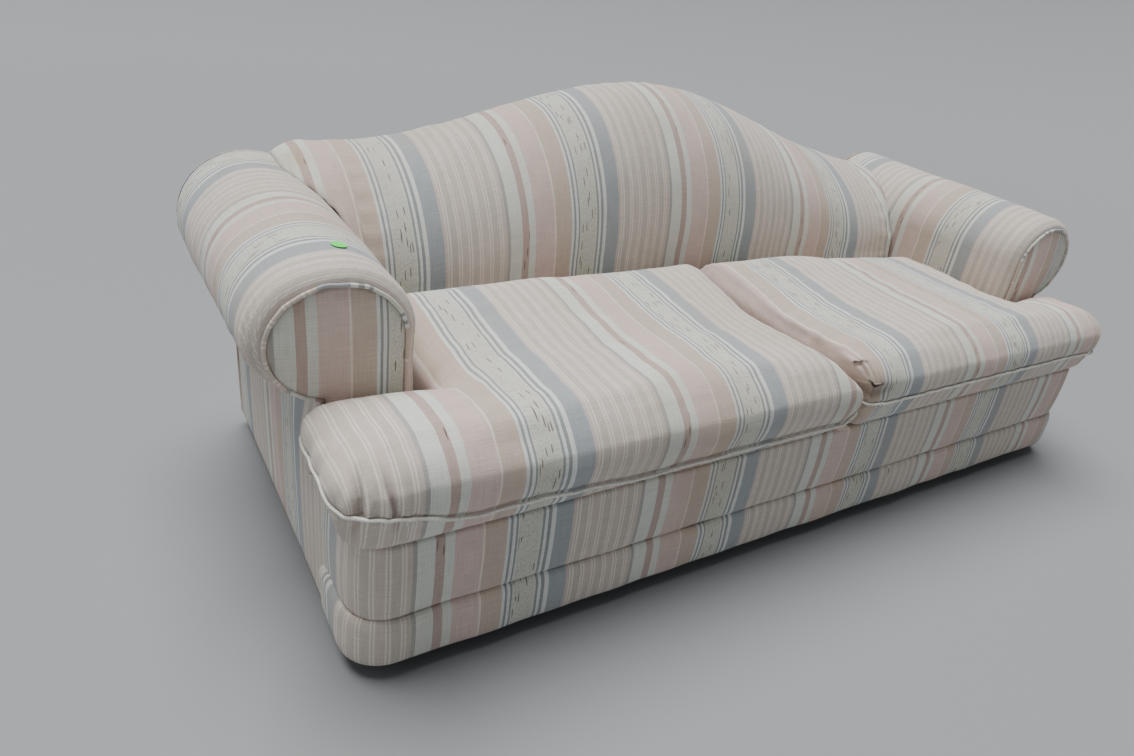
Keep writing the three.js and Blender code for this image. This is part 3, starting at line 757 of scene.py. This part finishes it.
# Behind, the cover drops to the outside back's edge and is closed where nothing shows.
rear_edge = face[:, -1].copy()
rear_edge[:, 2] = np.minimum(rear_edge[:, 2],
                             np.maximum(face[:, 0, 2] + 0.002, rear_edge[:, 2] - 0.2))
bottom = face[:, 0].copy()
bottom[:, 1] = np.maximum(bottom[:, 1] + 0.004,
                          np.where(np.abs(back_xs) > WING_START, 0.44, 0.396))
full = np.concatenate([face, rear_edge[:, None], bottom[:, None]], 1)
# Painted shade in the crease where the foot of the back meets the top of each arm.
back_crease_shade = 0.55 * bell(face_v - face_v[:, :1], 0.016) * smooth(0.815, 0.83, np.abs(x_grid))
full_v, back_crease_shade = [np.concatenate([grid, grid[:, -1:], grid[:, :1]], 1) for grid in (face_v, back_crease_shade)]
back = build("tight_back", full, capped_faces(BACK_ROWS, full.shape[1]),
             full[..., 0] + COVER_U + 0.008, full_v, shade_and_grime=back_crease_shade)
turn_outward(back)
settle(back, "inside_back_cover", "back_pad")


# ------------ outside back
# One flat striped sheet closes the rear, stapled along the crest and round the arm ends.
rear_low_corner, rear_high_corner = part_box("outside_back_cover")
roll_x, roll_z, roll_half, roll_up, roll_down = roll_at(rear_low_corner.y, "right")
outer = roll_x + roll_half - 0.005
columns = np.concatenate([np.linspace(-outer, -BASE_HALF - 0.0005, 18),
                          np.linspace(-BASE_HALF, BASE_HALF, 230),
                          np.linspace(BASE_HALF + 0.0005, outer, 18)])
REAR_ROWS = 70
reach = np.sqrt(np.maximum(1 - ((np.abs(columns) - roll_x) / (roll_half - 0.004)) ** 2, 0))
lap = crest(columns) - 0.028
over_roll = roll_z + (roll_up - 0.004) * reach
tops = np.where(np.abs(columns) > 0.87, np.maximum(over_roll, np.minimum(lap, over_roll)), lap)
bottoms = np.where(np.abs(columns) > BASE_HALF, roll_z - (roll_down - 0.004) * reach,
                   rear_low_corner.z)
levels = np.linspace(0, 1, REAR_ROWS)[:, None]
z_grid = bottoms[None] + (tops - bottoms)[None] * levels
x_grid = np.repeat(columns[None], REAR_ROWS, 0)
sag = np.sin(np.pi * levels) * (0.0025 * ripple(x_grid, z_grid * 0.5, 0.3, 110)
                                + 0.004 * np.cos(np.pi * x_grid / 2.4))
rear_points = np.stack([x_grid, rear_high_corner.y - 0.004 + sag, z_grid], -1)
outside_back = build("outside_back", rear_points, grid_faces(REAR_ROWS, len(columns)),
                     x_grid + COVER_U, z_grid)
turn_outward(outside_back)
if outside_back.data.polygons[5000].normal.y < 0:
    outside_back.data.flip_normals()
thicken(outside_back, 0.002)
settle(outside_back, "outside_back_cover")


# ------------ seat cushions
# Two loose T-shaped foam cushions in zipped striped covers. The top panel rolls over the front
# down to a low welt, and a narrow boxing strip tucks in below it.
VOXEL, SWELL_CAP = 0.012, 0.012
SEAT_FRONT, SEAT_DEPTH = -0.471, 0.579
EAR_CORNER, SPLIT_CORNER = 0.060, 0.012
EAR_SHORT = {"left": 0.005, "right": 0.034}    # the ears are packed down to unequal lengths


def cushion_plan(grow, word):
    """The cushion's outline from above: a T whose one ear reaches round the arm's front."""
    low, high, inner, outer = span_of(f"{word}_cushion_welt")
    inner += 0.007 - (grow if grow > 0 else 0.35 * grow)
    outer += grow - EAR_SHORT[word]
    arm_low, _, side_x, _ = span_of(f"{word}_arm_cover")
    side_x += min(grow, 0.003) - 0.008
    front, rear = low.y + 0.006 - grow, high.y - 0.004 + min(grow, 0.002)
    ear_rear = arm_low.y - 0.018 + min(grow, 0.002)
    r, small = EAR_CORNER + grow, SPLIT_CORNER
    split_corner = [(inner + small - small * math.sin(a), front + small - small * math.cos(a))
                    for a in np.radians(np.linspace(90, 0, 7))]
    ear_corner = [(outer - r + r * math.cos(a), front + r + r * math.sin(a))
                  for a in np.radians(np.linspace(270, 360, 14))]
    return np.array([(inner, rear), (inner, rear - 0.2), *split_corner, *ear_corner,
                     (outer, ear_rear - 0.020), (outer - 0.006, ear_rear - 0.006),
                     (outer - 0.020, ear_rear), (side_x, ear_rear), (side_x, rear)])


def welt_height(x, side):
    """The welt sags along the front, turns up at the split and climbs to the ear's side."""
    climb = smooth(0.84, 1.03, np.abs(x))
    if side > 0:
        return 0.346 - 0.006 * climb + 0.006 * smooth(0.10, 0.0, x)
    sag = 0.010 * smooth(-0.55, -0.72, x) - 0.004 * bell(x + 0.50, 0.09)
    return (0.313 + sag + 0.044 * climb + 0.030 * smooth(-0.040, 0.0, x)
            + 0.0014 * np.sin(x * 2 * math.pi / 0.16))


def split_shift(x, y, z):
    """The cushions don't meet square: low on the front the left one pushes over the right one."""
    forward = np.clip((0.106 - y) / 0.577, 0, 1)
    push = forward * (0.011 + 0.038 * smooth(0.450, 0.375, z)) - 0.010
    return push * smooth(0.26, 0.02, np.abs(x))


def read(mesh, what="co"):
    """The places of a mesh's points, or their normals."""
    values = np.empty(len(mesh.vertices) * 3)
    mesh.vertices.foreach_get(what, values)
    return values.reshape(-1, 3)


def move_points(mesh, places):
    mesh.vertices.foreach_set("co", places.ravel())
    mesh.update()


def simulate(piece, pressure, cap):
    """Swells a closed shape with cloth simulation and limits how far each point may move."""
    start = read(piece.data)
    cloth = piece.modifiers.new("swell", "CLOTH")
    for setting, value in (("use_pressure", True), ("uniform_pressure_force", pressure),
                           ("quality", 5), ("tension_stiffness", 12),
                           ("compression_stiffness", 12), ("bending_stiffness", 1.2)):
        setattr(cloth.settings, setting, value)
    cloth.settings.effector_weights.gravity = 0
    cloth.point_cache.frame_start = 1
    cloth.point_cache.frame_end = 20
    for number in range(1, 21):
        bpy.context.scene.frame_set(number)
    shown = piece.evaluated_get(bpy.context.evaluated_depsgraph_get())
    step = read(shown.data) - start
    piece.modifiers.remove(cloth)
    bpy.context.scene.frame_set(1)
    far = np.linalg.norm(step, axis=1)
    step *= (np.minimum(far, cap) / np.maximum(far, 1e-9))[:, None]
    move_points(piece.data, start + step)


# The right cushion is torn where it meets the left one: a slit along the front, which starts in
# a small open corner, and a shorter split on the top edge. Each has its line, its half-width at
# those places and its depth.
TEARS = (([(0.004, -0.466, 0.424), (0.010, -0.470, 0.414), (0.015, -0.471, 0.4080),
           (0.034, -0.473, 0.4055), (0.052, -0.474, 0.4040)],
          [0.0008, 0.0028, 0.0030, 0.0016, 0.0006], 0.007),
         ([(0.002, -0.412, 0.446), (0.020, -0.419, 0.448), (0.046, -0.426, 0.448)],
          [0.0020, 0.0013, 0.0006], 0.005))
BUNCHED, SUNK = (0.020, 0.430), (0.034, 0.380)    # across and up, on the front
TORN_FOAM_DEPTH = 0.0030
WELT_POINTS = 1000


def refine(mesh, centre, reach, times):
    """Splits the faces within reach of a place, so that fine detail can be shaped there."""
    made = bmesh.new()
    made.from_mesh(mesh)
    for _ in range(times):
        near = [edge for edge in made.edges
                if all((v.co - Vector(centre)).length < reach for v in edge.verts)]
        bmesh.ops.subdivide_edges(made, edges=near, cuts=1, use_grid_fill=True, smooth=0.0)
    bmesh.ops.triangulate(made, faces=[f for f in made.faces if len(f.verts) > 4])
    made.to_mesh(mesh)
    made.free()


def along_line(points, line, widths, surface):
    """Distance of each point to a bent line laid on a surface, and the half-width nearest to it."""
    steps = np.linspace(0, len(line) - 1, 40)
    line = np.array(line)
    line = np.stack([np.interp(steps, np.arange(len(line)), line[:, k]) for k in range(3)], 1)
    line = np.array([surface.find_nearest(Vector(spot))[0][:] for spot in line])
    widths = np.interp(steps, np.arange(len(widths)), widths)
    best = np.full(len(points), 9.0)
    width = np.zeros(len(points))
    for spot, half in zip(line, widths):
        gap = np.linalg.norm(points - spot, axis=1)
        closer = gap < best
        best = np.where(closer, gap, best)
        width = np.where(closer, half, width)
    return best, width


piping = grained("pale cotton piping", "#D4D1C7", "#F3F1EB", 240.0, 0.85, 0.5)
# The torn foam is dark brown for soiling and for painted shade in the cavity of the tear.
foam = grained("torn foam, soiled and painted shade", "#4A382E", "#7C6553", 350.0, 0.98, 0.8)
# The foam's shape as heights, and how far the outline is let out there.
FOAM_LAYERS = [(0.281, -0.040), (0.284, -0.022), (0.300, -0.010), (0.322, -0.004),
               (0.345, 0.004), (0.372, 0.008), (0.398, 0.004), (0.416, -0.010),
               (0.430, -0.030), (0.438, -0.055), (0.442, -0.085)]
for word, side in SIDES:
    rings = []
    for z, grow in FOAM_LAYERS:
        plan = cushion_plan(grow, word)
        rings.append(np.column_stack([plan[:, 0] * side, plan[:, 1], np.full(len(plan), z)]))
    cushion = build(f"{word}_cushion", rings, capped_faces(len(rings), len(plan)), 0.0, 0.0)
    turn_outward(cushion)
    remesh = cushion.modifiers.new("even", "REMESH")
    remesh.mode = "VOXEL"
    remesh.voxel_size = VOXEL
    apply(cushion, remesh)
    # The crown of the foam: highest along the middle of the seat.
    spots = read(cushion.data)
    across_share = np.clip(np.abs(spots[:, 0]) / 0.83, 0.02, 0.98)
    depth_share = np.clip((spots[:, 1] - SEAT_FRONT) / SEAT_DEPTH, 0, 1)
    crown = (np.sin(np.pi * across_share) * np.sin(np.pi * depth_share)) ** 0.5
    spots[:, 2] += 0.010 * crown * smooth(0.40, 0.44, spots[:, 2])
    move_points(cushion.data, spots)
    simulate(cushion, 4.0, SWELL_CAP)
    finer = cushion.modifiers.new("finer", "SUBSURF")
    finer.levels = 1
    apply(cushion, finer)

    if side > 0:
        refine(cushion.data, (0.035, -0.464, 0.408), 0.085, 2)
        refine(cushion.data, (0.030, -0.464, 0.412), 0.062, 1)
    else:
        refine(cushion.data, (-1.01, -0.45, 0.355), 0.110, 1)

    # Sitting, sewing and wear: the cover puckers above the welt, is pulled in along the seam,
    # and lies flat against the arm, the back and the deck.
    spots = read(cushion.data)
    normals = read(cushion.data, "normal")
    x, y, z = spots.T
    front_face = smooth(-0.38, -0.445, y)
    outer_face = smooth(0.99, 1.04, np.abs(x))
    sewn = np.maximum(front_face, outer_face)
    gap_z = z - welt_height(x, side)
    round_run = np.abs(x) - (y - SEAT_FRONT) * outer_face
    pucker = 0.0015 * ripple(round_run, z * 0.25, 0.045, 130 + side) * bell(gap_z - 0.024, 0.034)
    pleats = 0.0018 * np.abs(ripple(round_run, z * 0.10, 0.030, 135 + side))
    pleats *= bell(gap_z + 0.020, 0.016)
    sit = 0.0030 * ripple(x, y, 0.32, 140 + side)
    sit += 0.0012 * ripple(x * 0.6, y * 1.5, 0.10, 150 + side)
    out = (pucker - pleats) * sewn + sit * smooth(0.36, 0.43, z)
    out -= 0.0040 * bell(gap_z, 0.0065) * sewn
    out -= 0.0030 * bell(gap_z + 0.030, 0.018) * outer_face
    # Painted shade, with some grime, in the seam along the welt.
    shade_and_grime = 0.22 * bell(gap_z, 0.006) * sewn
    if side < 0:
        # Two deep pleats take up the cloth at the ear's corner, and lesser ones fan out below.
        for pleat_x, slant, deep, wide, long in ((-1.030, 0.10, 0.0120, 0.0070, 0.055),
                                                 (-0.982, -0.18, 0.0090, 0.0050, 0.048),
                                                 (-1.007, 0.02, 0.0040, 0.0060, 0.030),
                                                 (-0.955, -0.25, 0.0030, 0.0050, 0.030)):
            line_gap = x - pleat_x - slant * (z - 0.38)
            there = bell(gap_z - 0.020, long) * front_face
            fold, ridge = there * bell(line_gap, wide), there * bell(line_gap + 1.9 * wide, wide)
            out += deep * (0.45 * ridge - fold)
            # Painted shade in the two deep folds.
            shade_and_grime = np.maximum(shade_and_grime, 0.45 * fold * (deep > 0.005))
    else:
        # Above the slit the cloth is bunched into slanting tucks; below it, it has sunk in.
        near_tear = bell(x - BUNCHED[0], 0.030) * bell(z - BUNCHED[1], 0.016)
        out += 0.0042 * near_tear * np.sin((z * 0.55 - x) * 2 * math.pi / 0.014)
        sunk = bell(x - SUNK[0], 0.040) * bell(z - SUNK[1], 0.019) * front_face
        out -= 0.0095 * sunk
        # Painted shade in the sunk hollow below the slit.
        shade_and_grime = np.maximum(shade_and_grime, 0.50 * sunk)
        surface = BVHTree.FromObject(cushion, bpy.context.evaluated_depsgraph_get())
        torn_depth = np.zeros(len(x))
        for line, widths, deepest in TEARS:
            away, half_width = along_line(spots, line, widths, surface)
            hollow = smooth(1.25, 0.55, away / half_width) * deepest
            hollow *= np.clip(half_width / 0.004, 0.25, 1)
            lip = 0.0022 * bell(away - 1.6 * half_width, 0.0022) * (half_width > 0.001)
            torn_depth = np.maximum(torn_depth, hollow)
            out += lip - hollow
            # Painted shade, with some grime, along the torn edges.
            shade_and_grime = np.maximum(shade_and_grime, 0.62 * bell(away - half_width, 0.0045))
    spots += normals * out[:, None]
    spots[:, 0] = side * np.clip(side * spots[:, 0], 0.0015, 1.075)
    arm_low, _, arm_inner, _ = span_of(f"{word}_arm_cover")
    arm_inner -= 0.002
    ear_rear = arm_low.y - 0.018
    behind_ear = spots[:, 1] > ear_rear + 0.009
    held_in = side * np.minimum(side * spots[:, 0], arm_inner)
    spots[:, 0] = np.where(behind_ear, held_in, spots[:, 0])
    beyond_arm = side * spots[:, 0] > arm_inner + 0.002
    spots[:, 1] = np.where(beyond_arm, np.minimum(spots[:, 1], ear_rear), spots[:, 1])
    spots[:, 1] = np.clip(spots[:, 1], -0.4900, 0.1165)
    spots[:, 2] = np.maximum(spots[:, 2], 0.2795 + 0.020 * smooth(0.90, 1.05, np.abs(spots[:, 0])))
    # The rear of the seat stands plump against the back, and more so towards -X.
    plump = smooth(-0.24, 0.06, spots[:, 1]) * smooth(0.36, 0.43, spots[:, 2])
    spots[:, 2] += 0.038 * plump * smooth(0.80, 0.12, spots[:, 0])
    spots[:, 0] += split_shift(*spots.T)
    move_points(cushion.data, spots)

    # Flat cloth coordinates: across the stripes, and down over the front or the ear's side.
    x, y, z = spots.T
    drop = np.maximum(0, 0.440 - z)
    side_face = smooth(1.02, 1.055, np.abs(x)) * smooth(0.01, 0.06, drop)
    cloth_u = x + side * drop * (0.15 if side < 0 else 0.90) * side_face + COVER_U - 0.004
    if side < 0:
        # The ear's end shows only the pinstriped part of the repeat.
        first_pin = (PIN_START - 1) * REPEAT + 0.004
        cloth_u = np.maximum(cloth_u, first_pin + 0.25 * np.maximum(0, x + 1.09))
    else:
        cloth_u += 0.022 * smooth(0.60, 0.10, x)
    cloth_v = y - drop * smooth(-0.38, -0.44, y)
    set_cloth(cushion.data, cloth_u, cloth_v, shade_and_grime)
    cushion.data.polygons.foreach_set("use_smooth", [True] * len(cushion.data.polygons))
    cushion.data.materials.clear()
    cushion.data.materials.append(striped)
    if side > 0:
        cushion.data.materials.append(foam)
        # Faces deep in the tears take the dark foam: painted shade in the cavity, with soiling.
        for face in cushion.data.polygons:
            if np.mean([torn_depth[k] for k in face.vertices]) > TORN_FOAM_DEPTH:
                face.material_index = 1
    settle(cushion, f"{word}_seat_cushion")

    # The welt: a cotton cord in a pale strip of the cover cloth, sewn into the seam.
    plan = cushion_plan(0.000, word)
    spaced, even = spread(np.vstack([plan, plan[:1]]), WELT_POINTS + 1)
    even = even[:-1]
    line_x, line_y = side * spaced[:-1, 0], spaced[:-1, 1]
    line_z = welt_height(line_x, side)
    line_x = line_x + split_shift(line_x, line_y, line_z)
    tree = BVHTree.FromObject(cushion, bpy.context.evaluated_depsgraph_get())
    line = []
    for place in zip(line_x, line_y, line_z):
        near, near_normal, _, _ = tree.find_nearest(Vector(place))
        spot = near + near_normal * 0.0030
        line.append((spot.x, spot.y, place[2]))
    line = np.array(line)
    for _ in range(3):
        line = (np.roll(line, 1, 0) + 2 * line + np.roll(line, -1, 0)) / 4
    thickness = 0.0031 + 0.0004 * ripple(even, even * 0, 0.028, 160 + side)
    welt = tube(f"{word}_cushion_cord", line, thickness, even * 0, even, closed=True,
                material=piping)
    settle(welt, f"{word}_cushion_welt", slot="pale_welt")

# A pulled sewing thread hangs under the left welt.
THREAD_X, THREAD_Y = -0.966, -0.4705
hang = np.linspace(-0.001, 0.022, 12)
thread_z = float(welt_height(THREAD_X, -1)) - hang
thread_line = np.stack([THREAD_X + 0.0012 * np.sin(hang * 160),
                        THREAD_Y - 0.0015 * np.sin(hang * 90), thread_z], 1)
thread = tube("loose_thread", thread_line, np.full(12, 0.0006), hang * 0, hang * 0, sides=6,
              material=piping)
settle(thread, "left_cushion_welt", slot="pale_welt")


# ------------ sticker
# A blank paper sticker in fluorescent green, faintly mottled, on the crown of the arm.
dress(grained("green paper", "#3DF04F", "#78FF80", 300.0, 0.6, 0.1), "arm_sticker")


# ------------ floor and light
# A pale round floor that sweeps up far away on every side. A very soft sun stands overhead and a
# little behind, so that the front is in shade, with a weak window at -X and a faint pale sky.
FLOOR_RADIUS, SWEEP = 7, 8.0
SPOKES = 64
profile = [(0.01, 0)] + [(FLOOR_RADIUS + SWEEP * math.sin(a), SWEEP - SWEEP * math.cos(a))
                         for a in np.radians(np.linspace(0, 90, 20))]
floor_points = [(r * math.cos(turn), r * math.sin(turn), z) for r, z in profile
                for turn in np.radians(np.linspace(0, 360, SPOKES, endpoint=False))]
floor_mesh = bpy.data.meshes.new("floor")
floor_mesh.from_pydata(floor_points, [], grid_faces(len(profile), SPOKES, loop_columns=True))
floor_mesh.polygons.foreach_set("use_smooth", [True] * len(floor_mesh.polygons))
floor_looks = {"Base Color": srgb("#8F9193"), "Roughness": 0.8}
floor_mesh.materials.append(new_material("pale studio floor", floor_looks)[0])
put("floor", floor_mesh)

# Each light has its kind, its power, where it stands and points, and its own size setting.
for name, kind, energy, stand, aim, setting, size in (
        ("overhead", "SUN", 4.8, (0, 0, 0), (0.05, -0.24, -1), "angle", math.radians(46)),
        ("window", "AREA", 9, (-3.6, -0.6, 2.4), (3.6, 0.6, -2.0), "size", 2.2)):
    light = bpy.data.lights.new(name, kind)
    light.energy = energy
    setattr(light, setting, size)
    lamp = put(name, light)
    lamp.location = stand
    lamp.rotation_euler = Vector(aim).to_track_quat("-Z", "Y").to_euler()

world = bpy.data.worlds.new("studio")
bpy.context.scene.world = world
world.use_nodes = True
sky = world.node_tree.nodes["Background"].inputs
sky[0].default_value = srgb("#E4E8EC")
sky[1].default_value = 0.09
